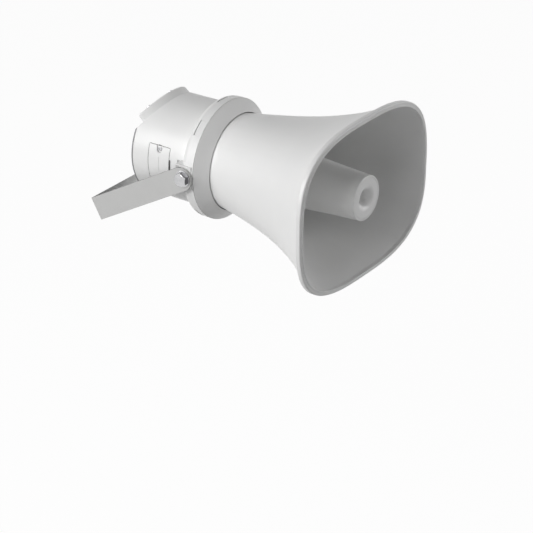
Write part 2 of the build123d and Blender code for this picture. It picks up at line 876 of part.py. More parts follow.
def rear_plate():
    plate = housing_body(0) & below_facet() & ring(plate_front, housing_end, collar_radius)
    plate = fillet(plate.edges().group_by(Axis.Y)[-1], edge_round)
    for x, z in plate_screw_places:
        plate -= rod((x, plate_front, z), (0, 1, 0), large_screw[0] + clearance_hole, rear_plate_thickness)
    for x, z in standoff_places:
        plate -= rod((x, plate_front, z), (0, 1, 0), small_screw[0] + clearance_hole, rear_plate_thickness)
    gland_start = (0, plate_front, -gland_drop)
    return plate - rod(gland_start, (0, 1, 0), gland_thread_radius + gland_thread_fit, rear_plate_thickness)


def rear_gasket():
    band = housing_body(edge_round) & below_facet(-edge_round) & ring(lip_back, plate_front, collar_radius)
    band -= rear_opening(lip_back, plate_front)
    for x, z in plate_screw_places:
        band -= rod((x, lip_back, z), (0, 1, 0), large_screw[0] + clearance_hole, seam_gap)
    return band


def rear_plate_screws():
    screws = []
    for x, z in plate_screw_places:
        length = rear_plate_thickness + seam_gap + rear_lip + plate_screw_bite
        screws.append(screw((x, housing_end, z), (0, -1, 0), large_screw, length))
    return Compound(children=screws)


# Cable gland

def gland_body():
    start = (0, housing_end, -gland_drop)
    thread = gland_locknut_height + gland_thread_end + rear_plate_thickness
    inside = (0, housing_end - thread, -gland_drop)
    collar = (0, housing_end + gland_hex_height, -gland_drop)
    body = hexagon(start, (0, 1, 0), gland_flats, gland_hex_height)
    body += rod(inside, (0, 1, 0), gland_thread_radius, thread)
    body += rod(collar, (0, 1, 0), gland_collar_radius, gland_collar_length)
    return body - rod(inside, (0, 1, 0), gland_tube_radius, thread + gland_hex_height + gland_collar_length)


def gland_locknut():
    place = (0, plate_front - gland_locknut_height, -gland_drop)
    return hexagon(place, (0, 1, 0), gland_flats, gland_locknut_height, gland_thread_radius + gland_nut_fit)


def gland_nut():
    start = (0, housing_end + gland_hex_height, -gland_drop)
    nut = rod(start, (0, 1, 0), gland_nut_radius, gland_nut_length)
    nut = fillet(nut.edges().group_by(Axis.Y)[-1], gland_nut_round)
    nut -= rod(start, (0, 1, 0), gland_collar_radius + gland_nut_fit, gland_collar_length + gland_nut_fit)
    nut -= rod(start, (0, 1, 0), gland_bore, gland_nut_length)
    for index in range(gland_flute_count):
        angle = 2 * pi * index / gland_flute_count
        flute = (gland_nut_radius * cos(angle), start[1], gland_nut_radius * sin(angle) - gland_drop)
        nut -= rod(flute, (0, 1, 0), gland_flute_radius, gland_nut_length - gland_flute_end)
    return nut


def gland_seal():
    start = (0, housing_end + gland_seal_start, -gland_drop)
    length = gland_hex_height + gland_collar_length - gland_seal_start
    body = rod(start, (0, 1, 0), gland_tube_radius - gland_nut_fit, length)
    return body - rod(start, (0, 1, 0), gland_seal_hole, length)


# Driver

def throat_gasket():
    return ring(bell_back, cover_start, tube_flange_radius, throat_radius + gasket_hole_fit)


def driver_cover():
    flange_back = cover_start + driver_flange_thickness
    seat, seat_radius = driver_plug_seat()
    roof = flange_back + driver_roof
    cover = lathe(
        (throat_radius, cover_start), (driver_flange_radius, cover_start),
        (driver_flange_radius, flange_back), (driver_radius, flange_back),
        (driver_radius, top_plate_front), (driver_cavity_radius, top_plate_front),
        (driver_cavity_radius, roof), (seat_radius, roof), (seat_radius, seat),
        (seat_radius - plug_seat_ledge, seat), (throat_radius, cover_start + throat_lead),
        radii=(0, driver_front_round, driver_edge_round, driver_corner_round,
               0, 0, driver_roof_round, 0, 0, 0, 0),
    )
    for place in driver_screw_spots():
        start = (place[0], cover_start, place[2])
        cover -= rod(start, (0, 1, 0), large_screw[0] + clearance_hole, driver_flange_thickness)
    for place in cover_screw_spots():
        cover -= rod(place, (0, 1, 0), small_screw[0] + clearance_hole, driver_cover_length)
        cover -= rod(place, (0, 1, 0), small_screw[1] + head_fit, small_screw[2] + head_fit)
    return cover


def driver_plug_seat():
    """Front place and radius of the recess that takes the phase plug's ring."""
    return cover_start + driver_flange_thickness, throat_radius + plug_seat_width


def cover_screw_spots():
    return polar_spots(3, (driver_radius + driver_cavity_radius) / 2, cover_start, 90)


def driver_cover_screws():
    screws = []
    for place in cover_screw_spots():
        start = (place[0], cover_start + small_screw[2], place[2])
        reach = driver_cover_length - small_screw[2] + top_plate_thickness - screw_tip_gap
        screws.append(screw(start, (0, 1, 0), small_screw, reach))
    return Compound(children=screws)


def driver_mount_screws():
    screws = []
    for place in driver_screw_spots():
        start = (place[0], cover_start + driver_flange_thickness, place[2])
        reach = driver_flange_thickness + gasket_thickness + screw_bite - screw_tip_gap
        screws.append(screw(start, (0, -1, 0), large_screw, reach))
    return Compound(children=screws)


def phase_plug():
    seat, seat_radius = driver_plug_seat()
    outer = seat_radius - cap_fit
    end = seat + plug_band_length
    tip = end - plug_length
    shoulder = (plug_radius * plug_bulge[0], tip + plug_length * plug_bulge[1])
    bullet = revolve(make_face([
        ThreePointArc((0, tip), shoulder, (plug_radius, end)),
        Polyline((plug_radius, end), (0, end), (0, tip)),
    ]), Axis.Y)
    plug = ring(seat, end, outer, outer - plug_band) + bullet
    for index in range(rib_count):
        web = Pos(outer / 2, (seat + end) / 2, 0) * Box(outer - past, plug_band_length, plug_web)
        plug += Rot(0, -30 - 360 * index / rib_count, 0) * web
    return plug


def diaphragm():
    rim_back = top_plate_front - dome_lift
    rim_front = rim_back - film_thickness
    outer = (coil_radius ** 2 + dome_height ** 2) / (2 * dome_height)
    center = rim_front - dome_height + outer
    dome = Pos(0, center, 0) * (Sphere(outer) - Sphere(outer - film_thickness))
    dome &= ring(rim_front - dome_height - past, rim_back, coil_radius + dome_rim_overlap)
    flange = ring(rim_front, rim_back, surround_inner + dome_flange_overlap, coil_radius - dome_flange_inset)
    return dome + flange


def surround():
    film_back = top_plate_front - dome_lift - film_thickness - surround_lift
    film_front = film_back - film_thickness
    middle = (surround_inner + clamp_inner) / 2
    bead = Circle(roll_radius) - Circle(roll_radius - film_thickness)
    roll = revolve(Pos(middle, film_back) * bead, Axis.Y)
    roll &= ring(film_front - 2 * roll_radius, film_back, driver_radius)
    flat = ring(film_front, film_back, middle - roll_radius + film_thickness, surround_inner)
    outer = driver_cavity_radius - surround_fit
    outer_flat = ring(film_front, film_back, outer, middle + roll_radius - film_thickness)
    clamp = ring(film_back, top_plate_front, outer, clamp_inner)
    return roll + flat + outer_flat + clamp


def voice_coil():
    start = top_plate_front - dome_lift
    former = ring(start, start + former_length, coil_radius + former_wall / 2, coil_radius - former_wall / 2)
    winding_start = top_plate_front + top_plate_thickness / 2 - winding_length / 2
    outer = coil_radius + former_wall / 2 + winding_wall
    return former + ring(winding_start, winding_start + winding_length, outer, coil_radius)


def top_plate():
    hole = coil_radius + former_wall / 2 + winding_wall + coil_gap / 2
    plate = ring(top_plate_front, top_plate_back, driver_radius, hole)
    for place in cover_screw_spots():
        start = (place[0], top_plate_front, place[2])
        plate -= rod(start, (0, 1, 0), small_screw[0] + screw_fit, top_plate_thickness)
    return plate


def magnet():
    body = ring(top_plate_back, magnet_back, driver_radius + magnet_overhang, magnet_bore)
    return chamfer(body.edges().filter_by(GeomType.CIRCLE).sort_by(SortBy.RADIUS)[-2:], magnet_chamfer)


def yoke():
    pole = coil_radius - former_wall / 2 - coil_gap / 2
    tip = top_plate_front + pole_setback
    return lathe((0, tip), (pole, tip), (pole, magnet_back), (driver_radius, magnet_back),
                 (driver_radius, yoke_back), (0, yoke_back), radii=(0, pole_round, 0, 0, yoke_round, 0))


def terminal_center():
    """Centre of the terminal strip on the driver cover's flange."""
    back = cover_start + driver_flange_thickness + terminal_strip[1] / 2
    return 0, back, driver_radius + terminal_strip[2] / 2


def driver_terminal():
    x, y, z = terminal_center()
    strip = block((x, y, z), terminal_strip) - ring(0, housing_end, driver_radius + driver_corner_round)
    for side in (-1, 1):
        tag_end = y + terminal_strip[1] / 2 + tag_size[1] / 2
        strip += block((side * lead_spacing / 2, tag_end, z + terminal_strip[2] / 4), tag_size)
    return strip


def driver_leads():
    _, y, z = terminal_center()
    start = y + terminal_strip[1] / 2 + tag_size[1]
    level = z + terminal_strip[2] / 4
    high = level + lead_rise
    bend = (board_place - start) * lead_bend_share
    leads = []
    for side in (-1, 1):
        x = side * lead_spacing / 2
        path = FilletPolyline((x, start, level), (x, start + bend, level), (x, board_place - bend, high),
                              (x, board_place, high), radius=(bend, bend))
        leads.append(sweep(Plane(origin=path @ 0, z_dir=path % 0) * Circle(lead_radius), path))
    return Compound(children=leads)


# Circuit board and what it carries

def main_board():
    board = ring(board_place, board_back, board_radius)
    board &= block((0, board_place, 0), (2 * board_flat, 4 * board_thickness, 2 * board_radius))
    for x, z in standoff_places:
        board -= rod((x, board_place, z), (0, 1, 0), small_screw[0] + clearance_hole, board_thickness)
    return board


def board_standoffs():
    posts = []
    length = plate_front - board_back
    for x, z in standoff_places:
        post = rod((x, board_back, z), (0, 1, 0), standoff_radius, length)
        post -= rod((x, board_back, z), (0, 1, 0), small_screw[0] + screw_fit, length)
        posts.append(post)
    return Compound(children=posts)


def board_screws():
    length = board_thickness + standoff_screw_bite
    screws = [screw((x, board_place, z), (0, 1, 0), small_screw, length) for x, z in standoff_places]
    return Compound(children=screws)


def standoff_screws():
    length = rear_plate_thickness + standoff_screw_bite
    screws = [screw((x, housing_end, z), (0, -1, 0), small_screw, length) for x, z in standoff_places]
    return Compound(children=screws)


def on_board(place, size):
    """Box that stands on the rear side of the board."""
    return block((place[0], board_back + size[1] / 2, place[1]), size)


def network_jack():
    body = on_board(jack_place, jack_size)
    depth = jack_size[1] - jack_back_wall
    middle = board_back + jack_size[1] - depth / 2
    mouth = block((jack_place[0], middle, jack_place[1]), (jack_mouth[0], depth, jack_mouth[1]))
    key = block((jack_place[0], middle, jack_place[1] - jack_mouth[1] / 2), (jack_key[0], depth, jack_key[1]))
    return body - mouth - key


def terminal_blocks():
    pieces = []
    for place in terminal_places:
        piece = on_board(place, terminal_size)
        for side in (-1, 0, 1):
            x = place[0] + side * terminal_pitch
            start = (x, board_back + terminal_size[1] - terminal_hole[1], place[1] - terminal_hole_drop)
            piece -= rod(start, (0, 1, 0), *terminal_hole)
        pieces.append(piece)
    return Compound(children=pieces)


def capacitors():
    pieces = []
    for x, z in capacitor_places:
        can = rod((x, board_back, z), (0, 1, 0), capacitor_radius, capacitor_length)
        pieces.append(fillet(can.edges().group_by(Axis.Y)[-1], capacitor_round))
    return Compound(children=pieces)


def filter_coil():
    x, z = coil_core_place
    body = rod((x, board_back, z), (0, 1, 0), coil_core_radius, coil_core_height)
    body = fillet(body.edges().group_by(Axis.Y)[-1], coil_core_round)
    return body - rod((x, board_back, z), (0, 1, 0), coil_core_hole, coil_core_height)


def heat_sink():
    width, height, depth = sink_size
    body = block((sink_place[0], board_back + sink_base / 2, sink_place[1]), (width, sink_base, depth))
    pitch = (width - sink_fin) / (sink_fins - 1)
    for index in range(sink_fins):
        x = sink_place[0] - (width - sink_fin) / 2 + pitch * index
        body += block((x, board_back + height / 2, sink_place[1]), (sink_fin, height, depth))
    return body


def processor():
    return on_board(chip_place, chip_size)


def button_switch():
    body = on_board(button_place, button_base)
    start = (button_place[0], board_back + button_well_floor, button_place[1])
    return body - rod(start, (0, 1, 0), button_radius + button_fit, button_base[1])


def control_button():
    rest = board_back + button_well_floor + button_travel + button_rest_gap
    button = rod((button_place[0], rest, button_place[1]), (0, 1, 0), button_radius, button_length)
    return fillet(button.edges().group_by(Axis.Y)[-1], button_round)


# Bracket and pivots

def u_bracket():
    """Strip bent to a U, drawn about the pivot along Y and then swung down from the horn's axis."""
    web_inner = arm_length - arm_thickness
    outer_bend = bend_round + arm_thickness
    path = FilletPolyline(
        (-arm_outer, -arm_end_reach), (-arm_outer, arm_length), (arm_outer, arm_length),
        (arm_outer, -arm_end_reach), (arm_inner, -arm_end_reach), (arm_inner, web_inner),
        (-arm_inner, web_inner), (-arm_inner, -arm_end_reach), close=True,
        radius=(0, outer_bend, outer_bend, 0, 0, bend_round, bend_round, 0),
    )
    strip = extrude(Pos(0, 0, -arm_width / 2) * make_face(path), arm_width)
    end_center = arm_width / 2 - arm_end_reach
    keep = block((0, end_center + arm_length, 0), (4 * arm_outer, 2 * arm_length, arm_width))
    strip &= keep + cross_rod(end_center, arm_width / 2)
    strip -= cross_rod(0, arm_hole_radius)
    for x, radius in ((0, wall_hole_radius), (-side_hole_spacing / 2, side_hole_radius),
                      (side_hole_spacing / 2, side_hole_radius)):
        strip -= rod((x, web_inner - past, 0), (0, 1, 0), radius, arm_thickness + 2 * past)
    return Pos(0, pivot_place, 0) * Rot(-arm_drop_angle, 0, 0) * strip


def cross_rod(place, radius):
    """Round bar across both arms of the bracket."""
    return rod((-2 * arm_outer, place, 0), (1, 0, 0), radius, 4 * arm_outer)


def pivot_bolt(side):
    """Hexagon bolt, its head's outer corners turned down by a cone."""
    under_head = arm_outer + lock_washer_thickness + running_gap
    head = hexagon((side * under_head, pivot_place, 0), (side, 0, 0), bolt_head_flats, bolt_head_height)
    face = (side * (under_head + bolt_head_height), pivot_place, 0)
    cone = rod(face, (-side, 0, 0), bolt_head_flats / 2 + bolt_head_height, 2 * bolt_head_height)
    cone = chamfer(cone.edges().sort_by(Axis(face, (-side, 0, 0)))[0], bolt_head_height + bolt_corner_reach)
    shank = under_head - insert_start + bolt_into_insert
    return (head & cone) + rod((side * under_head, pivot_place, 0), (-side, 0, 0), bolt_radius, shank)


def washer_pair(start, thickness, radius, hole):
    """The same washer at both pivots."""
    one = rod((start, pivot_place, 0), (1, 0, 0), radius, thickness)
    one -= rod((start, pivot_place, 0), (1, 0, 0), hole, thickness)
    one = fillet(one.edges().filter_by(GeomType.CIRCLE).sort_by(SortBy.RADIUS)[-2:], washer_round)
    return Compound(children=[one, mirrored(one)])


def friction_washers():
    hole = bolt_radius + bolt_clearance
    return washer_pair(block_face, friction_washer_thickness, friction_washer_radius, hole)


def lock_washers():
    start = arm_outer + running_gap
    return washer_pair(start, lock_washer_thickness, lock_washer_radius, bolt_radius + 2 * bolt_fit)


def pivot_inserts():
    one = rod((insert_start, pivot_place, 0), (-1, 0, 0), insert_radius, insert_length)
    one -= rod((insert_start, pivot_place, 0), (-1, 0, 0), bolt_radius + bolt_fit, insert_length)
    return Compound(children=[one, mirrored(one)])


pieces = {
    "horn_bell": horn_bell,
    "reflector": reflector,
    "reflector_cap": reflector_cap,
    "reflector_screw": reflector_screw,
    "tone_tube": tone_tube,
    "tone_tube_screws": tone_tube_screws,
    "collar_ring": collar_ring,
    "bell_screws": bell_screws,
    "housing_gasket": housing_gasket,
    "rear_housing": rear_housing,
    "connection_cover": connection_cover,
    "cover_gasket": cover_gasket,
    "cover_screws": cover_screws,
    "side_hatch": side_hatch,
    "hatch_screws": hatch_screws,
    "rear_plate": rear_plate,
    "rear_gasket": rear_gasket,
    "rear_plate_screws": rear_plate_screws,
    "gland_body": gland_body,
    "gland_locknut": gland_locknut,
    "gland_nut": gland_nut,
    "gland_seal": gland_seal,
    "throat_gasket": throat_gasket,
    "driver_cover": driver_cover,
    "driver_cover_screws": driver_cover_screws,
    "driver_mount_screws": driver_mount_screws,
    "phase_plug": phase_plug,
    "diaphragm": diaphragm,
    "surround": surround,
    "voice_coil": voice_coil,
    "top_plate": top_plate,
    "magnet": magnet,
    "yoke": yoke,
    "driver_terminal": driver_terminal,
    "driver_leads": driver_leads,
    "main_board": main_board,
    "board_standoffs": board_standoffs,
    "board_screws": board_screws,
    "standoff_screws": standoff_screws,
    "network_jack": network_jack,
    "terminal_blocks": terminal_blocks,
    "capacitors": capacitors,
    "filter_coil": filter_coil,
    "heat_sink": heat_sink,
    "processor": processor,
    "button_switch": button_switch,
    "control_button": control_button,
    "u_bracket": u_bracket,
    "pivot_bolt_left": lambda: pivot_bolt(-1),
    "pivot_bolt_right": lambda: pivot_bolt(1),
    "friction_washers": friction_washers,
    "lock_washers": lock_washers,
    "pivot_inserts": pivot_inserts,
}

os.makedirs("parts", exist_ok=True)
for name, make in pieces.items():
    save(name, make())
    print("wrote", name)
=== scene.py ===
import json
from math import radians

import bmesh
import bpy
from mathutils import Matrix, Vector


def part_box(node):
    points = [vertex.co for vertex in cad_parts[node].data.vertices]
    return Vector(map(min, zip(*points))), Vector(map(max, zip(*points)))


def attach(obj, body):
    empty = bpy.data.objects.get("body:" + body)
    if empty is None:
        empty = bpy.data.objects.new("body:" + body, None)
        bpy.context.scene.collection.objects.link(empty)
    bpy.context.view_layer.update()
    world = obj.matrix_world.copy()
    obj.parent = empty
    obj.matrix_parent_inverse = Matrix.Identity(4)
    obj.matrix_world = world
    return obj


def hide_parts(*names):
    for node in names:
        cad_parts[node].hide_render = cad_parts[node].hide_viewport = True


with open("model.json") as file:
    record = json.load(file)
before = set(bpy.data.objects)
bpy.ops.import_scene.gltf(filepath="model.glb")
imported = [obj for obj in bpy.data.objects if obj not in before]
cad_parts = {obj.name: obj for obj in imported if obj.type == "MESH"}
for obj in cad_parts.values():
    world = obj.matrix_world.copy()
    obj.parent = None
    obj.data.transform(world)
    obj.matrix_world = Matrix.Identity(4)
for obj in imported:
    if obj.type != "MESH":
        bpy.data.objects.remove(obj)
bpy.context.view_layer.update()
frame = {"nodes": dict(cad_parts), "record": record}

nodes = frame["nodes"]
bodies = frame["record"]["behaviour"]["bodies"]
bodyOf = {node: body for body, members in bodies.items() for node in members}
slotOf = {part["node"]: part["material_slot"] for part in frame["record"]["subparts"]}
print("model loaded,", len(nodes), "nodes")


# Camera: the direction, distance and long lens of the photograph

camera = {
    "place": (-2.1379, -1.7240, 1.2604),
    "right": (0.5790, -0.8154, 0.0),
    "up": (0.3654, 0.2594, 0.8941),
    "back": (-0.7290, -0.5176, 0.4481),
    "lens": 159.2,  # millimetres, on a square frame
    "frameWidth": 36.0,  # millimetres
    "reach": 50.0,  # metres
}


def placeCamera(setup):
    data = bpy.data.cameras.new("camera")
    data.lens = setup["lens"]
    data.sensor_fit = "HORIZONTAL"
    data.sensor_width = setup["frameWidth"]
    data.clip_end = setup["reach"]
    eye = bpy.data.objects.new("camera", data)
    turn = Matrix((setup["right"], setup["up"], setup["back"])).transposed().to_4x4()
    eye.matrix_world = Matrix.Translation(setup["place"]) @ turn
    bpy.context.scene.collection.objects.link(eye)
    bpy.context.scene.camera = eye


placeCamera(camera)
bpy.context.scene.view_settings.view_transform = "Standard"
print("camera placed")


# Node tree helpers

def addNode(tree, kind, x, y, **settings):
    node = tree.nodes.new(kind)
    node.location = (x, y)
    for name, value in settings.items():
        setattr(node, name, value)
    return node


def newGroup(name, inputs, outputs):
    group = bpy.data.node_groups.new(name, "ShaderNodeTree")
    for label, kind, value in inputs:
        socket = group.interface.new_socket(name=label, in_out="INPUT", socket_type=kind)
        if value is not None:
            socket.default_value = value
    for label, kind in outputs:
        group.interface.new_socket(name=label, in_out="OUTPUT", socket_type=kind)
    start = addNode(group, "NodeGroupInput", -900, 0)
    end = addNode(group, "NodeGroupOutput", 700, 0)
    return group, start, end


# Surface effects that several finishes share

effects = {
    "grainDetail": 3.0,
    "blotchDetail": 2.0,
    "blotchSpread": (0.35, 0.65),  # the noise between these fills the whole mask
    "lineDetail": 2.0,
    "trackEdge": (0.38, 0.42),  # share of a cell where its border begins and ends
    "bumpStrength": 0.6,
}


def makeGrainGroup():
    group, start, end = newGroup(
        "surfaceGrain",
        [("Vector", "NodeSocketVector", None), ("Grain Scale", "NodeSocketFloat", 1200.0),
         ("Blotch Scale", "NodeSocketFloat", 14.0)],
        [("Height", "NodeSocketFloat"), ("Blotch", "NodeSocketFloat")])
    fine = addNode(group, "ShaderNodeTexNoise", -600, 200)
    fine.inputs["Detail"].default_value = effects["grainDetail"]
    broad = addNode(group, "ShaderNodeTexNoise", -600, -150)
    broad.inputs["Detail"].default_value = effects["blotchDetail"]
    spread = addNode(group, "ShaderNodeMapRange", -300, -150)
    lowest, highest = effects["blotchSpread"]
    spread.inputs["From Min"].default_value = lowest
    spread.inputs["From Max"].default_value = highest
    group.links.new(start.outputs["Vector"], fine.inputs["Vector"])
    group.links.new(start.outputs["Vector"], broad.inputs["Vector"])
    group.links.new(start.outputs["Grain Scale"], fine.inputs["Scale"])
    group.links.new(start.outputs["Blotch Scale"], broad.inputs["Scale"])
    group.links.new(broad.outputs["Fac"], spread.inputs["Value"])
    group.links.new(fine.outputs["Fac"], end.inputs["Height"])
    group.links.new(spread.outputs["Result"], end.inputs["Blotch"])
    return group


def makeLinesGroup():
    # Fine parallel lines: brushed metal, turned metal or the turns of a winding
    group, start, end = newGroup(
        "parallelLines",
        [("Vector", "NodeSocketVector", None), ("Line Scale", "NodeSocketFloat", 400.0),
         ("Wander", "NodeSocketFloat", 1.0)],
        [("Height", "NodeSocketFloat"), ("Line", "NodeSocketFloat")])
    bands = addNode(group, "ShaderNodeTexWave", -500, 0,
                    wave_type="BANDS", bands_direction="Y", wave_profile="SIN")
    bands.inputs["Detail"].default_value = effects["lineDetail"]
    group.links.new(start.outputs["Vector"], bands.inputs["Vector"])
    group.links.new(start.outputs["Line Scale"], bands.inputs["Scale"])
    group.links.new(start.outputs["Wander"], bands.inputs["Distortion"])
    group.links.new(bands.outputs["Fac"], end.inputs["Height"])
    group.links.new(bands.outputs["Fac"], end.inputs["Line"])
    return group


def makeTracksGroup():
    # Square-cornered cell borders, which read as copper tracks under a board's coating
    group, start, end = newGroup(
        "boardTracks",
        [("Vector", "NodeSocketVector", None), ("Cell Scale", "NodeSocketFloat", 180.0)],
        [("Height", "NodeSocketFloat"), ("Track", "NodeSocketFloat")])
    cells = addNode(group, "ShaderNodeTexVoronoi", -500, 0, feature="F1", distance="CHEBYCHEV")
    edge = addNode(group, "ShaderNodeMapRange", -200, 0)
    begin, full = effects["trackEdge"]
    edge.inputs["From Min"].default_value = begin
    edge.inputs["From Max"].default_value = full
    group.links.new(start.outputs["Vector"], cells.inputs["Vector"])
    group.links.new(start.outputs["Cell Scale"], cells.inputs["Scale"])
    group.links.new(cells.outputs["Distance"], edge.inputs["Value"])
    group.links.new(edge.outputs["Result"], end.inputs["Height"])
    group.links.new(edge.outputs["Result"], end.inputs["Track"])
    return group


def makeBoxGroup():
    # 1 inside an upright box, 0 outside
    group, start, end = newGroup(
        "boxMask",
        [("Vector", "NodeSocketVector", None), ("Center", "NodeSocketVector", (0.0, 0.0, 0.0)),
         ("Half", "NodeSocketVector", (1.0, 1.0, 1.0))],
        [("Inside", "NodeSocketFloat")])
    offset = addNode(group, "ShaderNodeVectorMath", -700, 0, operation="SUBTRACT")
    away = addNode(group, "ShaderNodeVectorMath", -500, 0, operation="ABSOLUTE")
    past = addNode(group, "ShaderNodeVectorMath", -300, 0, operation="SUBTRACT")
    parts = addNode(group, "ShaderNodeSeparateXYZ", -100, 0)
    sides = addNode(group, "ShaderNodeMath", 100, 100, operation="MAXIMUM")
    worst = addNode(group, "ShaderNodeMath", 300, 0, operation="MAXIMUM")
    inside = addNode(group, "ShaderNodeMath", 500, 0, operation="LESS_THAN")
    inside.inputs[1].default_value = 0.0
    group.links.new(start.outputs["Vector"], offset.inputs[0])
    group.links.new(start.outputs["Center"], offset.inputs[1])
    group.links.new(offset.outputs["Vector"], away.inputs[0])
    group.links.new(away.outputs["Vector"], past.inputs[0])
    group.links.new(start.outputs["Half"], past.inputs[1])
    group.links.new(past.outputs["Vector"], parts.inputs["Vector"])
    group.links.new(parts.outputs["X"], sides.inputs[0])
    group.links.new(parts.outputs["Y"], sides.inputs[1])
    group.links.new(sides.outputs["Value"], worst.inputs[0])
    group.links.new(parts.outputs["Z"], worst.inputs[1])
    group.links.new(worst.outputs["Value"], inside.inputs[0])
    group.links.new(inside.outputs["Value"], end.inputs["Inside"])
    return group


grainGroup = makeGrainGroup()
boxGroup = makeBoxGroup()
linesGroup = makeLinesGroup()
tracksGroup = makeTracksGroup()


# Finishes, one for each of the part's material slots. Depths are in metres.

finishes = {
    "shell": {
        "color": (0.82, 0.82, 0.815), "shade": (0.80, 0.80, 0.797), "rough": (0.34, 0.42),
        "grain": 1400.0, "depth": 0.00003, "blotch": 16.0,
    },
    "painted": {
        "color": (0.50, 0.50, 0.495), "shade": (0.47, 0.47, 0.465), "rough": (0.38, 0.46),
        # The bracket strip's raw edges are darkened: partly their own colour, partly painted
        # shade along them.
        "metallic": 0.6, "cutAndShadeColor": (0.14, 0.14, 0.14),
        "grain": 900.0, "depth": 0.00004, "blotch": 22.0,
    },
    "bright_steel": {
        "color": (0.60, 0.60, 0.61), "shade": (0.54, 0.54, 0.55), "rough": (0.16, 0.24),
        # The bolt heads' flats are darkened as painted shade.
        "metallic": 1.0, "cutAndShadeColor": (0.16, 0.16, 0.165),
        "grain": 1200.0, "depth": 0.000004, "blotch": 120.0,
    },
    "steel": {
        "color": (0.62, 0.62, 0.63), "shade": (0.50, 0.50, 0.51), "rough": (0.28, 0.40),
        "metallic": 1.0, "grain": 1500.0, "depth": 0.00002, "blotch": 90.0,
    },
    "bright": {
        "color": (0.78, 0.78, 0.79), "shade": (0.68, 0.68, 0.70), "rough": (0.25, 0.36),
        "metallic": 1.0, "grain": 1500.0, "depth": 0.00001, "blotch": 80.0,
        "pattern": "lines", "lines": 900.0,
    },
    "cast": {
        "color": (0.40, 0.40, 0.41), "shade": (0.32, 0.32, 0.33), "rough": (0.45, 0.60),
        "metallic": 1.0, "grain": 700.0, "depth": 0.00012, "blotch": 60.0,
    },
    "brass": {
        "color": (0.72, 0.53, 0.25), "shade": (0.60, 0.42, 0.18), "rough": (0.22, 0.34),
        "metallic": 1.0, "grain": 1500.0, "depth": 0.00001, "blotch": 90.0,
        "pattern": "lines", "lines": 1200.0,
    },
    "copper": {
        "color": (0.62, 0.27, 0.12), "shade": (0.42, 0.15, 0.06), "rough": (0.20, 0.34),
        "metallic": 1.0, "grain": 1500.0, "depth": 0.00006, "blotch": 90.0,
        "pattern": "lines", "lines": 1100.0,
    },
    "ferrite": {
        "color": (0.045, 0.045, 0.05), "shade": (0.03, 0.03, 0.034), "rough": (0.55, 0.70),
        "grain": 900.0, "depth": 0.00008, "blotch": 70.0,
    },
    # Darker than the shell: partly the rear plate's own grey, partly painted shade, so that its
    # rear edge shows as a dark line.
    "plate": {
        "color": (0.30, 0.30, 0.31), "shade": (0.27, 0.27, 0.28), "rough": (0.45, 0.55),
        "grain": 900.0, "depth": 0.00006, "blotch": 24.0,
    },
    "pale_seal": {
        "color": (0.62, 0.62, 0.61), "shade": (0.58, 0.58, 0.57), "rough": (0.60, 0.72),
        "grain": 1100.0, "depth": 0.00005, "blotch": 50.0,
    },
    "seal": {
        "color": (0.035, 0.035, 0.036), "shade": (0.025, 0.025, 0.026), "rough": (0.60, 0.72),
        "grain": 1100.0, "depth": 0.00005, "blotch": 50.0,
    },
    "gland": {
        "color": (0.56, 0.56, 0.555), "shade": (0.52, 0.52, 0.515), "rough": (0.40, 0.50),
        "grain": 1300.0, "depth": 0.00004, "blotch": 60.0,
    },
    "dark": {
        "color": (0.035, 0.035, 0.038), "shade": (0.028, 0.028, 0.03), "rough": (0.42, 0.55),
        "grain": 1300.0, "depth": 0.00004, "blotch": 70.0,
    },
    "film": {
        "color": (0.55, 0.36, 0.12), "shade": (0.42, 0.26, 0.08), "rough": (0.22, 0.32),
        "grain": 800.0, "depth": 0.00003, "blotch": 60.0,
    },
    "green": {
        "color": (0.06, 0.32, 0.13), "shade": (0.05, 0.26, 0.10), "rough": (0.25, 0.34),
        "grain": 1300.0, "depth": 0.00002, "blotch": 80.0,
    },
    "board": {
        "color": (0.015, 0.12, 0.05), "shade": (0.05, 0.22, 0.09), "rough": (0.22, 0.32),
        "grain": 1500.0, "depth": 0.00004, "blotch": 60.0, "pattern": "tracks", "lines": 190.0,
    },
    "lead": {
        "color": (0.45, 0.03, 0.02), "shade": (0.36, 0.02, 0.015), "rough": (0.30, 0.42),
        "grain": 1200.0, "depth": 0.00002, "blotch": 80.0,
    },
}


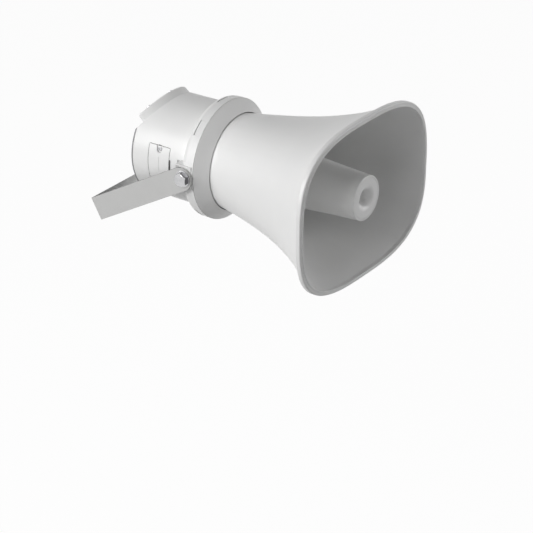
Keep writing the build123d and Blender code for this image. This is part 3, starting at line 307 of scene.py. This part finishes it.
def makeFinish(name, recipe):
    material = bpy.data.materials.new(name)
    material.use_nodes = True
    tree = material.node_tree
    shader = tree.nodes["Principled BSDF"]
    shader.location = (500, 0)
    tree.nodes["Material Output"].location = (800, 0)
    shader.inputs["Metallic"].default_value = recipe.get("metallic", 0.0)
    coords = addNode(tree, "ShaderNodeTexCoord", -900, 0)
    grain = addNode(tree, "ShaderNodeGroup", -600, 0, node_tree=grainGroup)
    grain.inputs["Grain Scale"].default_value = recipe["grain"]
    grain.inputs["Blotch Scale"].default_value = recipe["blotch"]
    tree.links.new(coords.outputs["Object"], grain.inputs["Vector"])
    mask, height = grain.outputs["Blotch"], grain.outputs["Height"]
    if "pattern" in recipe:
        isTracks = recipe["pattern"] == "tracks"
        patternGroup = tracksGroup if isTracks else linesGroup
        pattern = addNode(tree, "ShaderNodeGroup", -600, -300, node_tree=patternGroup)
        pattern.inputs["Cell Scale" if isTracks else "Line Scale"].default_value = recipe["lines"]
        tree.links.new(coords.outputs["Object"], pattern.inputs["Vector"])
        mask, height = pattern.outputs["Track" if isTracks else "Line"], pattern.outputs["Height"]
    tint = addNode(tree, "ShaderNodeMix", 0, 200, data_type="RGBA")
    tint.inputs["A"].default_value = (*recipe["color"], 1.0)
    tint.inputs["B"].default_value = (*recipe["shade"], 1.0)
    tree.links.new(mask, tint.inputs["Factor"])
    color = tint.outputs["Result"]
    if "box" in recipe:
        center, half = recipe["box"]
        box = addNode(tree, "ShaderNodeGroup", -600, 300, node_tree=boxGroup)
        box.inputs["Center"].default_value = center
        box.inputs["Half"].default_value = half
        tree.links.new(coords.outputs["Object"], box.inputs["Vector"])
        patch = addNode(tree, "ShaderNodeMix", 150, 350, data_type="RGBA")
        tree.links.new(box.outputs["Inside"], patch.inputs["Factor"])
        tree.links.new(color, patch.inputs["B" if recipe["outside"] else "A"])
        patch.inputs["A" if recipe["outside"] else "B"].default_value = (*recipe["boxColor"], 1.0)
        color = patch.outputs["Result"]
    # Marked faces take the darker edge colour: painted shade on bolt-head flats, and on the
    # bracket strip's raw edges partly their own colour, partly painted shade.
    if "cutAndShadeColor" in recipe:
        cutAndShade = addNode(tree, "ShaderNodeAttribute", -600, 500, attribute_name="cutAndShade")
        trim = addNode(tree, "ShaderNodeMix", 300, 450, data_type="RGBA")
        trim.inputs["B"].default_value = (*recipe["cutAndShadeColor"], 1.0)
        tree.links.new(cutAndShade.outputs["Fac"], trim.inputs["Factor"])
        tree.links.new(color, trim.inputs["A"])
        color = trim.outputs["Result"]
    tree.links.new(color, shader.inputs["Base Color"])
    gloss = addNode(tree, "ShaderNodeMapRange", 0, -50)
    gloss.inputs["To Min"].default_value, gloss.inputs["To Max"].default_value = recipe["rough"]
    tree.links.new(grain.outputs["Blotch"], gloss.inputs["Value"])
    tree.links.new(gloss.outputs["Result"], shader.inputs["Roughness"])
    bump = addNode(tree, "ShaderNodeBump", 200, -300)
    bump.inputs["Strength"].default_value = effects["bumpStrength"]
    bump.inputs["Distance"].default_value = recipe["depth"]
    tree.links.new(height, bump.inputs["Height"])
    tree.links.new(bump.outputs["Normal"], shader.inputs["Normal"])
    return material


# Tints on the shell: painted shadow of the gap around the hatch, the grey mark beside the pivot
# and painted light that makes the reflector whiter. The hatch and the mark are placed from the
# bracket's pivot.

tints = {
    "hatchBehindPivot": 0.0495,  # places and half sizes are in metres
    "hatchHalf": (1.0, 0.0157, 0.0235),  # a 0.4 mm border is left outside it, painted dark as the shadow in the gap
    # painted shadow of the gap around the hatch
    "hatchGapShadow": (0.10, 0.10, 0.10),
    "markFromPivot": (-0.066, 0.0147, 0.0105),
    "markHalf": (0.03, 0.0062, 0.0031),
    "mark": (0.52, 0.52, 0.515),
    # Painted light: the reflector and its cap are coloured whiter than the shell, for the light
    # they catch in the mouth.
    "reflector": (0.92, 0.92, 0.915),
    "reflectorShade": (0.90, 0.90, 0.896),
}
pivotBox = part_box("friction_washers")
pivot = (pivotBox[0] + pivotBox[1]) / 2
# The hatch's finish paints the gap's shadow on its border, outside the box.
finishes["hatchGapShadowShell"] = dict(
    finishes["shell"], outside=True, boxColor=tints["hatchGapShadow"],
    box=((0.0, pivot.y + tints["hatchBehindPivot"], pivot.z), tints["hatchHalf"]))
finishes["housingShell"] = dict(
    finishes["shell"], outside=False, boxColor=tints["mark"],
    box=(Vector((0.0, pivot.y, pivot.z)) + Vector(tints["markFromPivot"]), tints["markHalf"]))
# The reflector's finish is the shell made whiter, as painted light.
finishes["litMouthShell"] = dict(
    finishes["shell"], color=tints["reflector"], shade=tints["reflectorShade"])
nodeFinish = {
    "side_hatch": "hatchGapShadowShell", "rear_housing": "housingShell",
    "reflector": "litMouthShell", "reflector_cap": "litMouthShell",
}

materials = {slot: makeFinish(slot + "Finish", recipe) for slot, recipe in finishes.items()}
print("finishes made,", len(materials))


# Every modelled part gets its finish, on a welded copy whose walls shade smoothly

shading = {
    "weld": 0.000001,
    "smoothUnder": radians(28.0),  # between neighbouring faces
    "lineTolerance": 0.00003,  # how far a turned wall's corners may lie off its straight line
    "turnedMatch": 0.99,  # how nearly a face must point as the turned wall does
    "flat": ("main_board", "processor", "terminal_blocks",
             "network_jack", "heat_sink", "button_switch"),  # box-shaped, used as they come
}
axisHeight = pivot.z  # the horn's axis runs along Y at this height

# Faces that take the darker edge colour: the bracket strip's raw edges (partly own colour, partly
# painted shade) and the bolt heads' flats (painted shade).
cutAndShadedFaces = {
    "across": Vector((0.0, 0.4924, 0.8704)),  # the bracket strip's width
    "strip": 0.9,  # cut edges point nearly that way
    "headSide": 0.3,  # the bolt head's flats point away from its axis
    "headInside": 0.0072,  # and lie further from it than this
}


# Picks the faces that get the darker edge colour, which is painted shade on bolt flats and partly
# painted shade on the strip's raw edges.
def isCutOrShadedSide(node, face):
    if node == "u_bracket":
        return abs(face.normal.dot(cutAndShadedFaces["across"])) > cutAndShadedFaces["strip"]
    middle = face.calc_center_median() - pivot
    return abs(face.normal.x) < cutAndShadedFaces["headSide"] and middle.yz.length > cutAndShadedFaces["headInside"]


def radialOut(point):
    out = Vector((point.x, 0.0, point.z - axisHeight))
    return out.normalized() if out.length > shading["weld"] else Vector((0.0, 0.0, 1.0))


def turnedSlope(face):
    # Outward and lengthwise share of the normal, for a face on a wall turned about the axis
    points = [Vector((Vector((v.co.x, v.co.z - axisHeight)).length, v.co.y)) for v in face.verts]
    pairs = [(near, far) for near in points for far in points]
    near, far = max(pairs, key=lambda pair: (pair[0] - pair[1]).length_squared)
    along = far - near
    if along.length < shading["weld"]:
        return None
    astray = max(abs(along.cross(point - near)) for point in points)
    if astray > shading["lineTolerance"] * along.length:
        return None
    slope = Vector((along.y, -along.x)).normalized()
    middle = face.calc_center_median()
    match = face.normal.dot(radialOut(middle) * slope.x + Vector((0.0, slope.y, 0.0)))
    return slope * (1 if match > 0 else -1) if abs(match) > shading["turnedMatch"] else None


def smoothFans(vert):
    left = set(vert.link_faces)
    while left:
        fan, queue = [], [left.pop()]
        while queue:
            face = queue.pop()
            fan.append(face)
            soft = [edge for edge in face.edges if edge.smooth and vert in edge.verts]
            near = {other for edge in soft for other in edge.link_faces}
            queue.extend(near & left)
            left -= near
        yield fan


def cornerNormals(work):
    # Each corner takes its smooth neighbours' normals, weighted by their areas
    slopes = [turnedSlope(face) for face in work.faces]
    corners = {}
    for vert in work.verts:
        out = radialOut(vert.co)
        for fan in smoothFans(vert):
            total = Vector((0.0, 0.0, 0.0))
            for face in fan:
                slope = slopes[face.index]
                own = out * slope.x + Vector((0.0, slope.y, 0.0)) if slope else face.normal
                total += own * face.calc_area()
            for face in fan:
                corners[face.index, vert.index] = total.normalized()
    return [corners[face.index, loop.vert.index] for face in work.faces for loop in face.loops]


def smoothCopy(node):
    # The copy stands for the node, in the same place
    mesh = nodes[node].data.copy()
    work = bmesh.new()
    work.from_mesh(mesh)
    bmesh.ops.remove_doubles(work, verts=work.verts, dist=shading["weld"])
    for edge in work.edges:
        edge.smooth = edge.is_manifold and edge.calc_face_angle() < shading["smoothUnder"]
    for face in work.faces:
        face.smooth = True
    work.verts.index_update()
    work.faces.index_update()
    normals = cornerNormals(work)
    # Per-face marks for the darker edge colour: painted shade on bolt flats, partly painted shade
    # on the strip's raw edges.
    cutAndShadeValues = []
    if "cutAndShadeColor" in finishes[slotOf[node]]:
        cutAndShadeValues = [float(isCutOrShadedSide(node, face)) for face in work.faces]
    work.to_mesh(mesh)
    work.free()
    mesh.normals_split_custom_set(normals)
    if cutAndShadeValues:
        mesh.attributes.new("cutAndShade", "FLOAT", "FACE").data.foreach_set("value", cutAndShadeValues)
    mesh.materials.clear()
    mesh.materials.append(materials[nodeFinish.get(node, slotOf[node])])
    mesh.name = node + "Skin"
    piece = bpy.data.objects.new(node + "Skin", mesh)
    bpy.context.scene.collection.objects.link(piece)
    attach(piece, bodyOf[node])
    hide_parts(node)


for node in nodes:
    if node in shading["flat"]:
        nodes[node].data.materials.clear()
        nodes[node].data.materials.append(materials[slotOf[node]])
    else:
        smoothCopy(node)
print("finishes laid on the parts")


# Studio: white floor and world for the camera, soft light from the horn's left rear,
# dimmer light from the front and above

studio = {
    "floorHeight": -0.42,
    "floorSize": 40.0,
    "floorSeen": (0.95, 0.95, 0.95),
    "floorBounce": (0.35, 0.35, 0.35),  # what the floor sends back up to the horn
    "floorGlow": 0.96,  # share of the seen floor that is plain white
    "floorRough": 0.8,
    "floorGloss": 0.2,
    "fill": 0.02,
    "center": (0.0, -0.17, 0.07),
}

lamps = {
    "keyLeftRear": {"place": (-1.88, 1.11, 0.84), "size": 1.3, "power": 35.0},
    "upperLeft": {"place": (-1.7, -0.17, 1.77), "size": 1.2, "power": 14.0},
    "grazeLeft": {"place": (-2.31, -0.8, 0.19), "size": 1.2, "power": 7.0},
    "dimRightFront": {"place": (1.66, -1.83, 0.55), "size": 1.2, "power": 20.0},
    "dimTop": {"place": (0.0, 0.07, 2.46), "size": 1.2, "power": 4.0},
}


def addLamp(name, recipe):
    data = bpy.data.lights.new(name, "AREA")
    data.shape = "SQUARE"
    data.size = recipe["size"]
    data.energy = recipe["power"]
    lamp = bpy.data.objects.new(name, data)
    lamp.location = recipe["place"]
    aim = Vector(studio["center"]) - Vector(recipe["place"])
    lamp.rotation_euler = aim.to_track_quat("-Z", "Y").to_euler()
    bpy.context.scene.collection.objects.link(lamp)


def makeWorld(fill):
    world = bpy.data.worlds.new("studio")
    world.use_nodes = True
    bpy.context.scene.world = world
    tree = world.node_tree
    tree.nodes.clear()
    rays = addNode(tree, "ShaderNodeLightPath", -600, 200)
    seen = addNode(tree, "ShaderNodeMath", -400, 200, operation="MAXIMUM")
    straight = addNode(tree, "ShaderNodeMath", -250, 100, operation="MAXIMUM")
    white = addNode(tree, "ShaderNodeBackground", -200, -50)
    dim = addNode(tree, "ShaderNodeBackground", -200, -200)
    for light in (white, dim):
        light.inputs["Color"].default_value = (1.0, 1.0, 1.0, 1.0)
    dim.inputs["Strength"].default_value = fill
    mix = addNode(tree, "ShaderNodeMixShader", 50, 0)
    end = addNode(tree, "ShaderNodeOutputWorld", 250, 0)
    tree.links.new(rays.outputs["Is Camera Ray"], seen.inputs[0])
    tree.links.new(rays.outputs["Is Glossy Ray"], seen.inputs[1])
    tree.links.new(seen.outputs["Value"], straight.inputs[0])
    tree.links.new(rays.outputs["Is Transmission Ray"], straight.inputs[1])
    tree.links.new(straight.outputs["Value"], mix.inputs["Fac"])
    tree.links.new(dim.outputs["Background"], mix.inputs[1])
    tree.links.new(white.outputs["Background"], mix.inputs[2])
    tree.links.new(mix.outputs["Shader"], end.inputs["Surface"])


def makeFloor(setup):
    work = bmesh.new()
    bmesh.ops.create_grid(work, x_segments=1, y_segments=1, size=setup["floorSize"] / 2)
    bmesh.ops.translate(work, verts=work.verts, vec=(0.0, 0.0, setup["floorHeight"]))
    mesh = bpy.data.meshes.new("floor")
    work.to_mesh(mesh)
    work.free()
    material = bpy.data.materials.new("paleFloor")
    material.use_nodes = True
    tree = material.node_tree
    shader = tree.nodes["Principled BSDF"]
    shader.inputs["Roughness"].default_value = setup["floorRough"]
    shader.inputs["Specular IOR Level"].default_value = setup["floorGloss"]
    rays = addNode(tree, "ShaderNodeLightPath", -900, 300)
    seen = addNode(tree, "ShaderNodeMath", -600, 300, operation="MAXIMUM")
    share = addNode(tree, "ShaderNodeMath", -300, 300, operation="MULTIPLY")
    share.inputs[1].default_value = setup["floorGlow"]
    tint = addNode(tree, "ShaderNodeMix", -300, 0, data_type="RGBA")
    tint.inputs["A"].default_value = (*setup["floorBounce"], 1.0)
    tint.inputs["B"].default_value = (*setup["floorSeen"], 1.0)
    glow = addNode(tree, "ShaderNodeEmission", 0, -300)
    mix = addNode(tree, "ShaderNodeMixShader", 300, 0)
    end = tree.nodes["Material Output"]
    tree.links.new(rays.outputs["Is Camera Ray"], seen.inputs[0])
    tree.links.new(rays.outputs["Is Glossy Ray"], seen.inputs[1])
    tree.links.new(seen.outputs["Value"], share.inputs[0])
    tree.links.new(seen.outputs["Value"], tint.inputs["Factor"])
    tree.links.new(tint.outputs["Result"], shader.inputs["Base Color"])
    tree.links.new(share.outputs["Value"], mix.inputs["Fac"])
    tree.links.new(shader.outputs["BSDF"], mix.inputs[1])
    tree.links.new(glow.outputs["Emission"], mix.inputs[2])
    tree.links.new(mix.outputs["Shader"], end.inputs["Surface"])
    mesh.materials.append(material)
    floor = bpy.data.objects.new("floor", mesh)
    bpy.context.scene.collection.objects.link(floor)


makeWorld(studio["fill"])
makeFloor(studio)
for lampName, lampRecipe in lamps.items():
    addLamp(lampName, lampRecipe)
print("studio lit")
